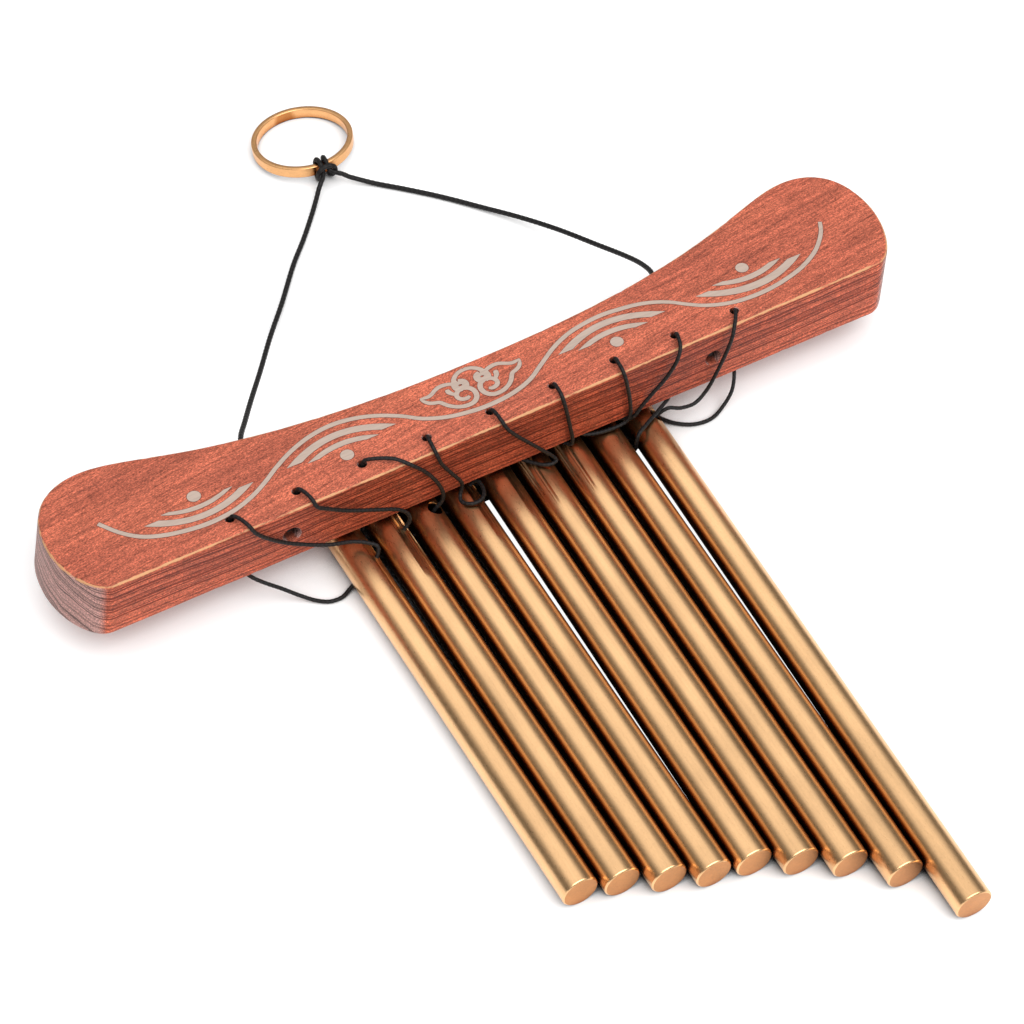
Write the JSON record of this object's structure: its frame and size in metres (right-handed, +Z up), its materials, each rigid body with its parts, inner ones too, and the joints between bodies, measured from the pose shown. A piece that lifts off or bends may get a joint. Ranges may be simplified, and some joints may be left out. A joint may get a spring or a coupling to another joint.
{
  "type": "hand chime",
  "caption": "Hand chime: a waisted wooden bar with solid metal rods on short cord slings and a cord hanger that ends in a flat metal ring.",
  "frame": {"origin": "on the table under the middle of the lying chime", "axes": "+X along the wooden bar, +Y from the rods' lower ends towards the ring, +Z up from the table"},
  "size_m": [0.26, 0.3528, 0.0328],
  "materials": {
    "wood": "satin stained wood with fine grain along the bar",
    "rod_metal": "polished gold-coloured metal",
    "ring_metal": "satin gold",
    "cord": "black waxed braided cord"
  },
  "bodies": {
    "bar": {"wood_bar": "wood", "stop_knot_left": "cord", "stop_knot_right": "cord"},
    "rod_1": {"rod_1": "rod_metal", "rod_cord_1": "cord"},
    "rod_2": {"rod_2": "rod_metal", "rod_cord_2": "cord"},
    "rod_3": {"rod_3": "rod_metal", "rod_cord_3": "cord"},
    "rod_4": {"rod_4": "rod_metal", "rod_cord_4": "cord"},
    "rod_5": {"rod_5": "rod_metal", "rod_cord_5": "cord"},
    "rod_6": {"rod_6": "rod_metal", "rod_cord_6": "cord"},
    "rod_7": {"rod_7": "rod_metal", "rod_cord_7": "cord"},
    "rod_8": {"rod_8": "rod_metal", "rod_cord_8": "cord"},
    "rod_9": {"rod_9": "rod_metal", "rod_cord_9": "cord"},
    "hanger": {"hanger_cord_left": "cord", "hanger_cord_right": "cord"},
    "ring": {"hanging_ring": "ring_metal", "ring_knot": "cord"}
  },
  "joints": [
    {"name": "rod_1_swing", "type": "hinge", "parent": "bar", "child": "rod_1", "pos_m": [-0.04925, -0.00119, 0.0211], "axis": [-1, 0, 0], "range_deg": [0, 90], "deforming": ["rod_cord_1"]},
    {"name": "rod_2_swing", "type": "hinge", "parent": "bar", "child": "rod_2", "pos_m": [-0.03755, -0.00119, 0.0211], "axis": [-1, 0, 0], "range_deg": [0, 90], "deforming": ["rod_cord_2"]},
    {"name": "rod_3_swing", "type": "hinge", "parent": "bar", "child": "rod_3", "pos_m": [-0.02621, -0.00119, 0.0211], "axis": [-1, 0, 0], "range_deg": [0, 90], "deforming": ["rod_cord_3"]},
    {"name": "rod_4_swing", "type": "hinge", "parent": "bar", "child": "rod_4", "pos_m": [-0.01477, -0.00119, 0.0211], "axis": [-1, 0, 0], "range_deg": [0, 90], "deforming": ["rod_cord_4"]},
    {"name": "rod_5_swing", "type": "hinge", "parent": "bar", "child": "rod_5", "pos_m": [-0.00281, -0.00119, 0.0211], "axis": [-1, 0, 0], "range_deg": [0, 90], "deforming": ["rod_cord_5"]},
    {"name": "rod_6_swing", "type": "hinge", "parent": "bar", "child": "rod_6", "pos_m": [0.00842, -0.00119, 0.0211], "axis": [-1, 0, 0], "range_deg": [0, 90], "deforming": ["rod_cord_6"]},
    {"name": "rod_7_swing", "type": "hinge", "parent": "bar", "child": "rod_7", "pos_m": [0.01975, -0.00119, 0.0211], "axis": [-1, 0, 0], "range_deg": [0, 90], "deforming": ["rod_cord_7"]},
    {"name": "rod_8_swing", "type": "hinge", "parent": "bar", "child": "rod_8", "pos_m": [0.03108, -0.00119, 0.0211], "axis": [-1, 0, 0], "range_deg": [0, 90], "deforming": ["rod_cord_8"]},
    {"name": "rod_9_swing", "type": "hinge", "parent": "bar", "child": "rod_9", "pos_m": [0.04303, -0.00119, 0.0211], "axis": [-1, 0, 0], "range_deg": [0, 90], "deforming": ["rod_cord_9"]},
    {"name": "hanger_swing", "type": "hinge", "parent": "bar", "child": "hanger", "pos_m": [0, 0.02911, 0.0211], "axis": [1, 0, 0], "range_deg": [0, 150], "deforming": ["hanger_cord_left", "hanger_cord_right"]},
    {"name": "ring_swing", "type": "hinge", "parent": "hanger", "child": "ring", "pos_m": [0.0099, 0.14461, 0.004], "axis": [1, 0, 0], "range_deg": [0, 150], "deforming": ["ring_knot"]}
  ]
}
